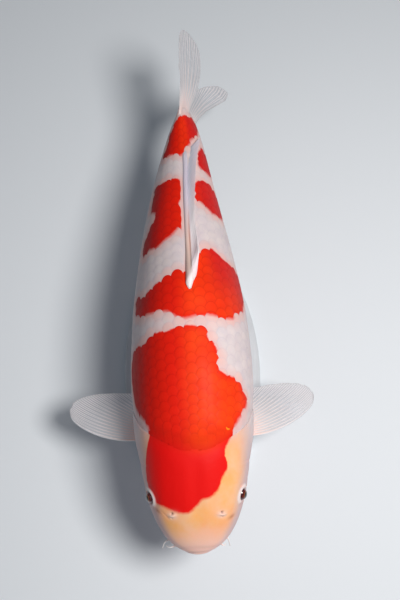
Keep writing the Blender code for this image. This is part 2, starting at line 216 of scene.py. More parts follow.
def bell(distance, width):
    return np.exp(-(np.asarray(distance) / width) ** 2)


def rolls(distance, *waves):
    """Rolls and, with a height below 0, creases: (distance, height, width) of each."""
    return sum(height * bell(distance - place, width) for place, height, width in waves)


def around_feature(points, along, turn, depth):
    """Millimetres behind a feature's place and above it on its side; 1 for points near it."""
    backward, round_edge, outward = surface_axes(along, turn)
    offset = (points - body_point(along, turn)) / MM
    upward = round_edge if turn < 90 else -round_edge
    return offset @ backward, offset @ upward, np.abs(offset @ outward) < depth


def mouth_relief(points):
    """Closed lips: a slit with a roll above and below it, and a crease behind each roll."""
    x = np.abs(points[..., 0]) / MM
    z = (points[..., 2] - AXIS_HEIGHT) / MM
    corner = 19.0
    above = z + 17.0 + 7.0 * (x / corner) ** 2
    near_front = 1 - smoothstep(24, 36, (points[..., 1] - SNOUT_Y) / MM)
    held = (1 - smoothstep(corner - 1.5, corner + 4.5, x)) * near_front
    lips = rolls(
        above, (0, -2.4, 0.9), (3.2, 0.9, 2.6), (-3.2, 0.8, 2.6), (7.6, -1.1, 1.3),
        (-7.4, -0.9, 1.3), (17.0, -0.45, 2.6),
    )
    corner_fold = bell(np.hypot(x - corner - 1.5, (z + 25.0) * 0.7), 2.6)
    return lips * held - 0.8 * corner_fold * near_front, bell(above, 5.5) * held


def eye_relief(points):
    """A socket round each eye with a groove and a raised rim, whose upper part is white."""
    relief, ring = 0.0, 0.0
    for turn in (EYE_TURN, 180 - EYE_TURN):
        behind, above, near = around_feature(points, EYE_ALONG, turn, 14)
        distance = np.hypot(behind, above)
        bowl = -2.6 * (1 - smoothstep(4.2, 5.8, distance))
        rim = rolls(distance, (6.3, -0.70, 0.65), (8.0, 0.85, 1.7), (13.0, -0.40, 2.4))
        upper = smoothstep(-3.0, 2.5, above + 0.25 * behind)
        relief = relief + near * (bowl + rim)
        ring = ring + near * bell(distance - 8.3, 2.8) * upper
    return relief, ring


def nostril_relief(points):
    """Two pits on each side of the snout, parted by a standing flap, with brown streaks near.

    The pits' mask darkens them in the skin's colour as painted shade.
    """
    relief, flap, pit, brown_streak = 0.0, 0.0, 0.0, 0.0
    for turn in (NOSTRIL_TURN, 180 - NOSTRIL_TURN):
        behind, above, near = around_feature(points, NOSTRIL_ALONG, turn, 12)
        rear_pit = bell(np.hypot(behind - 2.4, above * 0.8 - 0.3), 1.05)
        front_pit = bell(np.hypot(behind + 2.6, above + 1.2), 0.8)
        ridge = bell(behind - 0.2, 1.6) * bell(above, 3.9)
        shoulder = bell(np.hypot(behind, above) - 4.6, 1.2)
        outer_groove = bell(above + 7 + 0.8 * behind, 1.4) * bell(behind - 1, 5)
        shape = 1.9 * ridge - 1.8 * rear_pit - 0.9 * front_pit + 0.10 * shoulder
        relief = relief + near * (shape - 0.3 * outer_groove)
        flap = flap + near * bell(np.hypot(behind, above * 0.72), 4.2)
        # the pits' mask, which the skin's colour darkens as painted shade
        pit = pit + near * np.maximum(rear_pit, 0.5 * front_pit)
    for along, turn in BROWN_STREAKS:
        behind, above, near = around_feature(points, along, turn, 12)
        streak_distance = np.hypot((behind + 0.7 * above) / 2.6, (0.7 * behind - above) / 5.5)
        brown_streak = brown_streak + near * bell(streak_distance, 1.0)
    return relief, flap, pit, brown_streak


# Grooves of the gill cover and the cheek: (folded turn, along)
gill_groove = smooth_profile(((-70, .118), (-45, .165), (-20, .188), (10, .184), (40, .166)))
cheek_groove = smooth_profile(((-40, .098), (-20, .135), (0, .151), (22, .147)))


def gill_relief(along, fold):
    """Edge of the gill cover, the grooves on it, the nape and the folds of the throat."""
    behind = (along - head_edge(fold)) * LENGTH_MM
    on_cover = behind <= 0
    rear_step = -1.3 * np.exp(-np.maximum(behind, 0) / 9.0)
    rolled_rim = -0.22 * bell(behind, 1.6)
    nape = -0.85 * bell(behind - 1.0, 10.0)
    relief = plateau(fold, -84, -70, 26, 52) * np.where(on_cover, rolled_rim, rear_step)
    relief = relief + smoothstep(34, 62, fold) * nape
    groove = bell((along - gill_groove(fold)) * LENGTH_MM, 1.7) * plateau(fold, -66, -52, 22, 38)
    bones = bell((along - cheek_groove(fold)) * LENGTH_MM, 1.9) * plateau(fold, -42, -30, 14, 24)
    throat = (1 - smoothstep(-56, -44, fold)) * plateau(behind, -27, -20, -4, -2)
    throat_folds = throat * (1 - np.cos(2 * np.pi * behind / 6.0))
    relief = relief - 0.65 * groove - 0.3 * bones - 0.28 * throat_folds
    bare = np.where(fold > 46, 1 - smoothstep(-9, 12, behind), on_cover)
    # the second value marks the grooves, which the skin's colour darkens as painted shade
    return relief, np.clip(0.8 * groove + 0.4 * bones, 0, 1), behind, bare


def skull_relief(points, along):
    """The shallow furrow between the eyes and the fold between throat and gill covers."""
    x = np.abs(points[..., 0]) / MM
    furrow = rolls(x, (0, -0.35, 4.5), (11, 0.25, 5), (27, -0.25, 6))
    isthmus = 2.5 + np.maximum(along - .10, 0) * LENGTH_MM * 0.22
    throat_fold = -0.9 * bell(x - isthmus, 1.2)
    return np.where(
        points[..., 2] > AXIS_HEIGHT,
        furrow * plateau(along, .05, .08, .15, .18),
        throat_fold * plateau(along, .085, .105, .17, .184),
    )


def skin_relief(along, turn):
    """Everything that shapes the skin, in metres, with masks that the colours use."""
    points = body_point(along, turn)
    mouth, lip = mouth_relief(points)
    eye, orbit = eye_relief(points)
    nostril, flap, pit, brown_streak = nostril_relief(points)
    gill, groove, behind, bare = gill_relief(along, folded(turn))
    depth = HEAD_INSET + (COAT_DEPTH - HEAD_INSET) * smoothstep(0, 9, behind)
    on_head = mouth + eye + nostril + skull_relief(points, along)
    relief = on_head * (behind <= 0) + gill - depth
    masks = {"lip": lip, "orbit": orbit, "flap": flap, "pit": pit, "groove": groove,
             "bare": bare, "brown_streak": brown_streak}
    return relief * MM, masks


# Markings: outlines of the red patches as (along, turn) on the back

RED_PATCHES = {
    "crown_and_shoulder": (
        (.295, 34), (.275, 37), (.245, 48), (.215, 54), (.187, 60), (.160, 56), (.135, 62),
        (.117, 65), (.102, 73), (.097, 83), (.084, 91), (.075, 99), (.073, 108), (.078, 120),
        (.089, 133), (.098, 145), (.112, 150), (.132, 154), (.165, 151), (.196, 144),
        (.225, 135), (.243, 134), (.258, 141), (.285, 152), (.320, 160), (.380, 163),
        (.407, 154), (.411, 139), (.424, 127), (.422, 119), (.429, 104), (.431, 92), (.424, 76),
        (.411, 74), (.385, 69), (.362, 64), (.350, 69), (.337, 65), (.327, 54), (.328, 47),
        (.310, 42),
    ),
    "saddle": (
        (.525, 158), (.500, 156), (.479, 149), (.473, 136), (.469, 122), (.469, 112),
        (.450, 98), (.447, 94), (.454, 80), (.452, 66), (.453, 48), (.465, 42), (.473, 44),
        (.480, 33), (.517, 17), (.560, 10), (.587, 12), (.590, 33), (.602, 49), (.618, 62),
        (.612, 70), (.595, 82), (.560, 90), (.556, 101), (.547, 111), (.536, 118), (.524, 129),
        (.518, 136), (.521, 146),
    ),
    "rear_right": (
        (.806, 104), (.803, 130), (.795, 147), (.752, 150), (.736, 148), (.723, 135),
        (.703, 137), (.678, 145), (.650, 155), (.618, 149), (.627, 138), (.625, 128),
        (.640, 115), (.655, 102), (.672, 96), (.706, 95), (.734, 99), (.755, 95), (.790, 94),
    ),
    "tail_stalk": (
        (.978, 98), (.987, 60), (.990, 18), (.975, 2), (.943, 32), (.914, 64), (.890, 82),
        (.877, 100), (.878, 118), (.876, 140), (.892, 142), (.918, 134), (.957, 124),
    ),
    "rear_left_upper": (
        (.905, 33), (.866, 56), (.850, 57), (.838, 42), (.832, 14), (.850, 5), (.885, 8),
    ),
    "rear_left_lower": (
        (.796, 66), (.805, 52), (.795, 29), (.777, 10), (.745, 9), (.722, 20), (.713, 44),
        (.727, 57), (.746, 72), (.772, 70),
    ),
}
FLECK_PLACE = (.221, 61)
FAR_FROM_RED = -25.0             # millimetres


def chart(along, turn):
    """Millimetres along and round the body, from the snout and the middle of the back."""
    radius = (half_width(along) + 0.5 * (back_height(along) - belly_height(along))) / 2 / MM
    over_back = np.where(np.asarray(turn) < -90, np.asarray(turn) + 360, turn)
    return np.stack((along * LENGTH_MM, radius * np.radians(over_back - 90)), axis=-1)


def catmull_rom(before, first, second, after, share):
    """A point between the first and second of four points on a smooth line."""
    return 0.5 * (
        2 * first
        + (second - before) * share
        + (2 * before - 5 * first + 4 * second - after) * share ** 2
        + (3 * first - before - 3 * second + after) * share ** 3
    )


def closed_curve(points, per_span=4):
    """A smooth closed line through points."""
    before, after, later = (np.roll(points, shift, axis=0) for shift in (1, -1, -2))
    shares = np.arange(per_span)[:, None] / per_span
    spans = catmull_rom(*(line[:, None] for line in (before, points, after, later)), shares)
    return spans.reshape(-1, 2)


def outline_distance(places, outline):
    """Millimetres into a closed outline, below zero outside it."""
    nearest = np.full(len(places), np.inf)
    inside = np.zeros(len(places), bool)
    for start, end in zip(outline, np.roll(outline, -1, axis=0)):
        edge = end - start
        offset = places - start
        share = np.clip(offset @ edge / max(edge @ edge, 1e-9), 0, 1)
        nearest = np.minimum(nearest, ((offset - share[:, None] * edge) ** 2).sum(axis=1))
        crosses = (start[1] > places[:, 1]) != (end[1] > places[:, 1])
        height = edge[1] if abs(edge[1]) > 1e-9 else 1e-9
        inside ^= crosses & (offset[:, 0] < offset[:, 1] * edge[0] / height)
    return np.where(inside, 1, -1) * np.sqrt(nearest)


PATCH_OUTLINES = [
    closed_curve(chart(*np.array(points, float).T)) for points in RED_PATCHES.values()
]


def redness(along, turn):
    """Millimetres into the nearest red patch, below zero on white."""
    places = chart(along, turn).reshape(-1, 2)
    depth = np.full(len(places), FAR_FROM_RED)
    for outline in PATCH_OUTLINES:
        low = outline.min(axis=0) + FAR_FROM_RED
        high = outline.max(axis=0) - FAR_FROM_RED
        near = ((places > low) & (places < high)).all(axis=1)
        depth[near] = np.maximum(depth[near], outline_distance(places[near], outline))
    return depth.reshape(np.shape(along))


def edge_softness(along, turn):
    """Millimetres over which red fades: wider at a patch's front edge than at its rear edge."""
    ahead = 0.006
    growing = redness(along + ahead, turn) - redness(along - ahead, turn)
    return 0.55 + 0.9 * smoothstep(0, 4, growing)


def colour_places(along, turn):
    """What the colours need to know of each point's place on the body."""
    return {"along": along, "fold": folded(turn) / 90, "aside": np.cos(np.radians(turn))}


# Meshes

def add_object(name, data):
    added = bpy.data.objects.new(name, data)
    bpy.context.scene.collection.objects.link(added)
    return added


def make_piece(name, nodes, vertices, faces, material, attributes, uv=None,
               sharp_angle=50):
    """A mesh on the body that stands for some nodes; its colours read the attributes."""
    mesh = bpy.data.meshes.new(name)
    mesh.from_pydata(np.asarray(vertices).reshape(-1, 3).tolist(), [], faces)
    mesh.update()
    for label, values in attributes.items():
        layer = mesh.attributes.new(label, "FLOAT", "POINT")
        layer.data.foreach_set("value", np.asarray(values, np.float32).ravel())
    if uv is not None:
        corners = np.empty(len(mesh.loops), np.int32)
        mesh.loops.foreach_get("vertex_index", corners)
        layer = mesh.uv_layers.new(name="OFBake")
        layer.uv.foreach_set("vector", np.asarray(uv, np.float32)[corners].ravel())
    mesh.materials.append(material)
    mesh.shade_smooth()
    mesh.set_sharp_from_angle(angle=math.radians(sharp_angle))
    piece = add_object(name, mesh)
    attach(piece, "root")
    if nodes:
        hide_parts(*nodes)
    return piece


def tube_faces(rings, columns):
    """Faces of rings of vertices from end to end, then those that close it on two end points."""
    column = np.arange(columns)
    following = (column + 1) % columns
    near = np.arange(rings - 1)[:, None] * columns
    far = near + columns
    quads = np.stack((near + column, near + following, far + following, far + column), axis=-1)
    count = rings * columns
    last = count - columns
    faces = quads.reshape(-1, 4).tolist()
    for first, second in zip(column.tolist(), following.tolist()):
        faces.append((second, first, count))
        faces.append((last + first, last + second, count + 1))
    return faces


# Skin

HEAD_RINGS_FINE = 208
HEAD_RINGS_REAR = 46
TRUNK_RINGS = 84
SKIN_COLUMNS = 272
SCALES_END = 0.997
WEDGE_START = 0.998
WEDGE_NARROWING = 0.90


def skin_turns():
    """Turns of the skin's columns from the belly round, closest on the eyes and nostrils."""
    fine = np.linspace(-90, 270, 3601)
    density = 0.48 + plateau(folded(fine), 6, 14, 60, 68)
    total = np.concatenate(((0,), np.cumsum((density[1:] + density[:-1]) / 2)))
    return np.interp(np.arange(SKIN_COLUMNS) / SKIN_COLUMNS * total[-1], total, fine)


def skin_grid():
    """Along and turn of each skin vertex; one ring follows the edge of the head exactly."""
    turn = skin_turns()
    edge = head_edge(folded(turn))
    fine_share = np.linspace(0.001, 0.80, HEAD_RINGS_FINE)
    rear_share = np.linspace(0.80, 1.0, HEAD_RINGS_REAR + 1)[1:]
    head = edge * np.concatenate((fine_share, rear_share))[:, None] ** 2
    behind_head = edge + 0.15 / LENGTH_MM
    trunk_share = np.linspace(0, 1, TRUNK_RINGS)[:, None] ** 1.3
    trunk = behind_head + (BODY_END - behind_head) * trunk_share
    along = np.concatenate((head, trunk))
    return along, np.broadcast_to(turn, along.shape)


def narrow_towards_rays(points, along):
    """Behind the last scales the flesh rounds off to a thin end between the tail's rays."""
    past_scales = np.clip((along - WEDGE_START) / (BODY_END - WEDGE_START), 0, 1)
    width = 1 - WEDGE_NARROWING * (1 - np.sqrt(1 - past_scales ** 2))
    height = points[..., 2] - AXIS_HEIGHT
    lean = np.where(height > 0, TAIL_LEAN["upper"](along), TAIL_LEAN["lower"](along))
    middle = side_bend(along) * MM - lean * height
    points[..., 0] = middle + (points[..., 0] - middle) * width


def close_bake_seam(skin, rings, columns):
    """The faces that close each ring end at 1 on the bake map, not back at 0."""
    layer = skin.data.uv_layers["OFBake"]
    places = np.empty(2 * len(layer.uv), np.float32)
    layer.uv.foreach_get("vector", places)
    quads = places[:8 * (rings - 1) * columns].reshape(rings - 1, columns, 4, 2)
    quads[:, -1, 1:3, 1] = 1.0
    layer.uv.foreach_set("vector", places)


def make_skin(material):
    """One closed skin from the snout to the end of the flesh between the tail's rays."""
    along, turn = skin_grid()
    relief, masks = skin_relief(along, turn)
    points = body_point(along, turn) + surface_axes(along, turn)[2] * relief[..., None]
    narrow_towards_rays(points, along)
    rings, columns = along.shape

    def with_ends(values):
        ends = np.array((values[0].mean(axis=0), values[-1].mean(axis=0)))
        return np.concatenate((values.reshape(-1, *values.shape[2:]), ends))

    attributes = {
        **masks, **colour_places(along, turn), "red": redness(along, turn),
        "fade": edge_softness(along, turn),
    }
    ring_share = np.broadcast_to(np.linspace(0, 1, rings)[:, None], along.shape)
    uv = np.stack((ring_share, (turn + 90) / 360), axis=-1)
    skin = make_piece(
        "skin",
        ("head", "gill_cover_left", "gill_cover_right", "trunk_front", "trunk_middle",
         "trunk_rear", "tail_stalk"),
        with_ends(points), tube_faces(rings, columns), material,
        {label: with_ends(values) for label, values in attributes.items()}, with_ends(uv),
    )
    close_bake_seam(skin, rings, columns)


# Scales

SCALE_SPOKES = 26
SCALE_RINGS = (0.42, 0.72, 0.90, 1.0)
SCALE_SQUARENESS = 2.35
FIRST_SCALES = 0.175
MIDLINE_SPACING = 0.74           # of the spacing at the lateral line
SCALE_HALF_LENGTH = 1.04         # of the spacing along a row
SCALE_HALF_WIDTH = 0.66          # of the spacing between rows
RIM_DROP = 0.08                  # millimetres
SCALE_THICKNESS = 0.13           # millimetres
FOLLOWS_ROOT = 0.38              # of a scale's redness is that of its root, the rest its own
BAKE_PATCH = 0.003               # of the bake map's width, for each scale

# Millimetres between scales of a row, and between rows: (along, millimetres)
scale_pitch = smooth_profile(((.18, 7.4), (.26, 9.4), (.36, 10.8), (.80, 10.6), (1.02, 8.6)))
row_spacing = smooth_profile((
    (.18, 10.5), (.30, 13.5), (.46, 15.2), (.65, 13.8), (.85, 10.8), (1.02, 8.0),
))


def quarter_arc(along, upper):
    """Turns from the midline to the lateral line, and the arc in millimetres at each."""
    turns = np.linspace(90 if upper else -90, 0, 91)
    steps = np.linalg.norm(np.diff(section(along, turns), axis=0), axis=1)
    return turns, np.concatenate(((0,), np.cumsum(steps))) / MM


def row_arcs(total, spacing):
    """Millimetres from the midline of each row up to the lateral line; rows open on the way."""
    narrow = spacing * MIDLINE_SPACING
    growth = (spacing - narrow) / total
    count = max(round(math.log(spacing / narrow) / growth), 2)
    rows = np.arange(count + 1)
    arcs = narrow / growth * (np.exp(growth * rows) - 1)
    return arcs + (total - arcs[-1]) * (rows / count) ** 3


def has_scale(along, turn):
    """Scales start behind the head; none stand on the bases of the dorsal fin."""
    if along < float(head_edge(float(folded(turn)))) + 1.6 / LENGTH_MM or along > SCALES_END:
        return False
    return not (turn == 90 and DORSAL_SPAN[0] - .004 < along < DORSAL_SPAN[1])


def scale_places():
    """Along, turn, row spacing and whether pored of every scale; rows are half a pitch apart."""
    places = []
    along, column = FIRST_SCALES, 0
    while along <= SCALES_END:
        for upper in (True, False):
            turns, arc = quarter_arc(along, upper)
            arcs = row_arcs(arc[-1], float(row_spacing(along)))
            spacing = np.gradient(arcs)
            lateral = len(arcs) - 1
            for row in range(column % 2, len(arcs) if upper else lateral, 2):
                turn = float(np.interp(arcs[row], arc, turns))
                for side in ((turn,) if row == 0 else (turn, 180 - turn)):
                    if has_scale(along, side):
                        places.append((along, side, spacing[row], row == lateral))
        along += float(scale_pitch(along)) / LENGTH_MM / 2
        column += 1
    return np.array(places, float).T


def scale_template():
    """One plate's vertices: forward, across, from its middle, and 1 underneath; and its faces.

    Its front is at -1 and its free edge at +1; its last point is the middle underneath.
    """
    angle = np.arange(SCALE_SPOKES) / SCALE_SPOKES * 2 * np.pi
    x, y = squared_circle(angle, SCALE_SQUARENESS)
    x = np.where(x > 0, x * (1 - 0.10 * y ** 2), x)
    radius = np.array((*SCALE_RINGS, 1.0))[:, None]
    flat = [(radius * values).ravel() for values in (x, y, np.ones(SCALE_SPOKES))]
    local_x, local_y, from_middle = (np.concatenate(([0], values, [0])) for values in flat)
    under = np.zeros(len(local_x))
    under[-SCALE_SPOKES - 1:] = 1
    faces = []
    last = 1 + len(SCALE_RINGS) * SCALE_SPOKES
    for spoke in range(SCALE_SPOKES):
        following = (spoke + 1) % SCALE_SPOKES
        faces.append((1 + spoke, 1 + following, 0, 0))
        for near in range(1, last, SCALE_SPOKES):
            far = near + SCALE_SPOKES
            faces.append((near + spoke, far + spoke, far + following, near + following))
        faces.append((last + following, last + spoke, last + SCALE_SPOKES, last + SCALE_SPOKES))
    return local_x, local_y, from_middle, under, np.array(faces)


def scale_grid(along0, turn0, spacing, local_x, local_y):
    """Along and turn of each vertex of each scale, sized and swung a little at random."""
    size = 1 + 0.025 * RANDOM.standard_normal(len(along0))
    swing = np.radians(2.0) * RANDOM.standard_normal(len(along0))[:, None]
    x = local_x * (SCALE_HALF_LENGTH * scale_pitch(along0) * size)[:, None]
    y = local_y * (SCALE_HALF_WIDTH * spacing * size)[:, None]
    two_degrees = section(along0, turn0 + 1) - section(along0, turn0 - 1)
    round_rate = np.linalg.norm(two_degrees, axis=-1)[:, None] / 2 / MM
    turn = turn0[:, None] + (x * np.sin(swing) + y * np.cos(swing)) / round_rate
    along = along0[:, None] + (x * np.cos(swing) - y * np.sin(swing)) / LENGTH_MM
    behind_head = head_edge(folded(turn)) + 0.3 / LENGTH_MM
    return np.clip(along, behind_head, BODY_END), turn


def scale_height(along0, turn0, lift, local_x, from_middle, under):
    """Millimetres over the skin: a scale rises to its free edge, less so near head and tail."""
    crown = 0.12 * (1 - from_middle ** 2)
    rim = RIM_DROP * smoothstep(0.90, 1.0, from_middle) + SCALE_THICKNESS * under
    height = COAT_DEPTH * ((local_x + 1) / 2 - 0.03) + crown - rim
    height = np.where((under > 0) & (from_middle == 0), -0.05, height)
    behind_head = (along0 - head_edge(folded(turn0))) * LENGTH_MM
    flat_ends = 1 - 0.45 * smoothstep(.93, 1.0, along0)
    flat_ends = flat_ends * (0.12 + 0.88 * smoothstep(0, 16, behind_head))
    return height * flat_ends[:, None] + lift[:, None]


def make_scales(material):
    """Every scale as a thin closed plate that follows the skin and rises to its free edge."""
    along0, turn0, spacing, pored = scale_places()
    count = len(along0)
    local_x, local_y, from_middle, under, template = scale_template()
    along, turn = scale_grid(along0, turn0, spacing, local_x, local_y)
    tone = RANDOM.uniform(-1, 1, count)
    lift = 0.02 * RANDOM.standard_normal(count)
    height = scale_height(along0, turn0, lift, local_x, from_middle, under)
    relief, masks = skin_relief(along, turn)
    outward = surface_axes(along, turn)[2]
    points = body_point(along, turn) + outward * (relief + height * MM)[..., None]

    from_fleck = np.linalg.norm(chart(along0, turn0) - chart(*np.array(FLECK_PLACE)), axis=1)
    fleck = np.arange(count) == np.argmin(from_fleck)
    at_root = redness(along0, turn0)[:, None]
    attributes = {
        **colour_places(along, turn), "bare": masks["bare"],
        "red": (1 - FOLLOWS_ROOT) * redness(along, turn) + FOLLOWS_ROOT * at_root,
        "fade": edge_softness(along0, turn0)[:, None], "tone": tone[:, None],
        "fleck": fleck[:, None], "pored": pored[:, None],
        "rim": from_middle, "scale_x": local_x, "scale_y": local_y,
    }
    uv_root = np.stack((0.01 + 0.98 * along0 / BODY_END, (turn0 + 90) % 360 / 360), axis=-1)
    uv = uv_root[:, None] + np.stack((local_x, local_y), axis=-1) * BAKE_PATCH / 2

    fold0 = folded(turn0)
    on_left = np.cos(np.radians(turn0)) > -1e-6
    flank = np.abs(fold0) < 45
    groups = {
        "scales_left_flank": on_left & flank,
        "scales_right_flank": ~on_left & flank,
        "scales_back": fold0 >= 45,
        "scales_belly": fold0 <= -45,
    }
    for name, chosen in groups.items():
        starts = np.arange(chosen.sum()) * len(local_x)
        faces = (template + starts[:, None, None]).reshape(-1, 4).tolist()
        faces = [face[:3] if face[2] == face[3] else face for face in faces]
        part = {
            label: np.broadcast_to(values, along.shape)[chosen]
            for label, values in attributes.items()
        }
        make_piece(
            name, (), points[chosen], faces, material, part,
            uv[chosen].reshape(-1, 2), sharp_angle=70,
        )


# Fins

MEMBRANE = 0.26                  # millimetres


def curve_through(points, share):
    """A smooth line through a few points, read at an array of shares from 0 to 1."""
    points = np.asarray(points, float)
    spans = len(points) - 1
    share = np.asarray(share, float)
    index = np.minimum((share * spans).astype(int), spans - 1)
    longer = np.concatenate(
        ([2 * points[0] - points[1]], points, [2 * points[-1] - points[-2]])
    )
    return catmull_rom(*(longer[index + step] for step in range(4)),
                       (share * spans - index)[..., None])


def fan(root_line, edge_line, bow=(0, 0, 0)):
    """A fin's middle surface: rays from its root line to its free edge.

    The first ray bends forward by the bow at its middle, and those behind it ever less.
    """
    def surface(out, across):
        root, edge = curve_through(root_line, across), curve_through(edge_line, across)
        bend = (4 * out * (1 - out)) ** 0.7 * (1 - across) ** 1.5
        return root + (edge - root) * out[..., None] + bend[..., None] * np.array(bow)

    return surface


def ray_pattern(out, across, rays, spine):
    """Height from 0 to 1 of rays that fork twice but for the spines, and each ray's number."""
    number = np.minimum(np.floor(across * rays), rays - 1)
    off = across * rays - number - 0.5
    forks = number >= spine
    first = 0.25 * smoothstep(0.34, 0.95, out) * forks
    second = 0.115 * smoothstep(0.66, 1.10, out) * forks
    width = np.where(forks, 0.17 - 0.115 * smoothstep(0.0, 0.9, out), 0.30 - 0.10 * out)
    return bell(np.abs(np.abs(np.abs(off) - first) - second), width), number


def plate_faces(rows, columns):
    """Faces of a closed plate: a grid, the same grid below it, and the rim between them."""
    count = rows * columns
    grid = np.arange(count).reshape(rows, columns)
    quads = np.stack((grid[:-1, :-1], grid[:-1, 1:], grid[1:, 1:], grid[1:, :-1]), axis=-1)
    quads = quads.reshape(-1, 4)
    rim = np.concatenate((grid[0, :], grid[1:, -1], grid[-1, -2::-1], grid[-2:0:-1, 0]))
    after = np.roll(rim, -1)
    band = np.stack((after, rim, rim + count, after + count), axis=-1)
    return np.concatenate((quads, quads[:, ::-1] + count, band)).tolist()


def make_fin(node, surface, rays, material, rows=46, per_ray=14, root_thick=2.6, flesh=0.16,
             ray_thick=0.60, spine=1, pleat=0.0, rounding=None):
    """A thin closed fin with raised, forking rays and a fleshy root; thickness in millimetres.

    The root's thickness and how far out its flesh reaches may change across the fin.
    """
    columns = rays * per_ray + 1
    out, across = np.meshgrid(
        np.linspace(0, 1, rows), np.linspace(0, 1, columns), indexing="ij"
    )
    ray, number = ray_pattern(out, across, rays, spine)
    notch = 0.009 * (1 - ray) * smoothstep(0.90, 1.0, out)
    uneven = 0.005 * np.sin(number * 2.4 + 1.3) * smoothstep(0.85, 1.0, out)
    middle = surface(out * (1 - notch + np.minimum(uneven, 0)), across)
    normal = unit(np.cross(np.gradient(middle, axis=0), np.gradient(middle, axis=1)))
    if callable(root_thick):
        root_thick, flesh = root_thick(across), flesh(across)
    fleshy = bell(out, flesh)
    taper = (1 - 0.62 * out) * (1 - 0.8 * fleshy)
    from_end = np.minimum(across / (rounding or 0.7 / rays), (1 - across) * rays * 1.4)
    closing = 0.22 + 0.78 * np.sqrt(np.minimum(1, from_end))
    flat_part = MEMBRANE * (1 - 0.3 * out) + ray_thick * taper * ray
    half = (flat_part + root_thick * fleshy) * closing / 2
    wave = pleat * np.cos(2 * np.pi * across * rays) * smoothstep(0.05, 0.5, out)
    sides = [middle + normal * ((wave + offset) * MM)[..., None] for offset in (half, -half)]
    attributes = {"ray": ray, "out": out, "across": across, "flesh": bell(out, 0.22)}
    corner = np.array(((0.01, 0.01), (0.01, 0.51)))[:, None, None]
    make_piece(
        f"{node}_rays", (node,), sides, plate_faces(rows, columns), material,
        {label: [values, values] for label, values in attributes.items()},
        (corner + np.stack((out, across), axis=-1) * (0.98, 0.48)).reshape(-1, 2),
        sharp_angle=75,
    )


def make_pair(name, place, root_line, edge_line, material, rays, sweep=0.0, bow=(0, 0, 0),
              **shape):
    """A fin on each side, its lines in millimetres from its place on the left side.

    The place is metres aside, along, and metres over the axis; the left fin is swept back by
    some degrees and the right one forward.
    """
    aside, along, height = place
    for side, sign in (("left", 1), ("right", -1)):
        turned = np.array(Matrix.Rotation(math.radians(sign * sweep), 3, "Z")).T
        turned = turned * (sign, 1, 1) * MM
        root, edge, forward = (np.array(line) @ turned for line in (root_line, edge_line, bow))
        at = np.array((sign * aside, world_y(along), AXIS_HEIGHT + height))
        make_fin(f"{name}_{side}", fan(root + at, edge + at, forward), rays, material, **shape)


def make_pectoral_fins(material):
    """Spread flat behind the gill covers, as in the solids."""
    make_pair(
        "pectoral_fin", (0.054, .273, -0.044),
        ((-8, -6, 0), (-8, 6, 0), (-8, 20, -1)),
        ((83, 24, -4), (84, 34, -5), (76, 44, -7), (58, 48.5, -8), (36, 48, -7), (12, 45, -5)),
        material, 17, sweep=3.2, bow=(4.5, -14.5, 2.5), rows=50, root_thick=3.4, flesh=0.20,
    )


def make_pelvic_fins(material):
    """Half folded under the belly."""
    make_pair(
        "pelvic_fin", (0.026, .51, -0.064),
        ((4, -8, 6), (-4, 0, 6), (-12, 6, 6)),
        ((11, 20, -6), (20, 42, -15), (22, 58, -21), (14, 66, -23), (2, 60, -19), (-7, 40, -10)),
        material, 9, rows=40, root_thick=2.8,
    )


def make_dorsal_fin(material):
    """The long back fin, folded down to the left along the back."""
    front, rear = DORSAL_SPAN
    buried = 0.0015
    root_turn = smooth_profile(((0, 86.8), (.3, 88.3), (1, 88.6)))
    ray_length = smooth_profile(((0, 38), (.25, 41), (.5, 42), (.8, 36), (1, 32)))
    lean_angle = smooth_profile(((0, 62), (.25, 66), (.6, 74), (.85, 84), (1, 94)))
    rake_angle = smooth_profile(((0, 13), (.25, 11.5), (.6, 17.5), (.8, 24), (1, 38)))
    base_thickness = smooth_profile(((0, 13), (.3, 4.6), (.8, 2.0), (1, 0.7)))
    fleshy_share = smooth_profile(((0, .8), (.25, .40), (1, .25)))

    def surface(out, across):
        along = front + (rear - front) * across
        root = body_point(along, root_turn(across)) - (0, 0, buried)
        slope = (back_height(along + .02) - back_height(along - .02)) / (.04 * STANDARD_LENGTH)
        rake = np.radians(rake_angle(across))
        length = ray_length(across) * MM + buried / np.sin(rake)
        lean = np.radians(lean_angle(across)) * np.minimum(out * 4.0, 1.0)
        zero = np.zeros_like(slope)
        backward = unit(np.stack((zero, zero + 1, slope), axis=-1)) * np.cos(rake)[..., None]
        upward = np.stack((np.sin(lean), zero, np.cos(lean)), axis=-1) * np.sin(rake)[..., None]
        return root + (backward + upward) * (length * out)[..., None]

    make_fin("dorsal_fin", surface, 20, material, rows=44, per_ray=12,
             root_thick=base_thickness, flesh=fleshy_share, ray_thick=0.40, spine=2,
             pleat=0.08, rounding=0.04)


def make_anal_fin(material):
    """The short fin under the tail stalk."""
    front, rear = .765, .835
    buried = 0.005
    lean = math.radians(6)
    ray_length = smooth_profile(((0, 50), (.15, 57), (.5, 48), (1, 30)))

    def surface(out, across):
        root = body_point(front + (rear - front) * across, -90.0) + (0, 0, buried)
        rake = np.radians(38 - 8 * across)
        length = ray_length(across) * MM + buried
        direction = np.stack((math.sin(lean) * out, np.cos(rake), -np.sin(rake)), axis=-1)
        return root + direction * (length * out)[..., None]

    make_fin("anal_fin", surface, 7, material, rows=40, pleat=0.2)


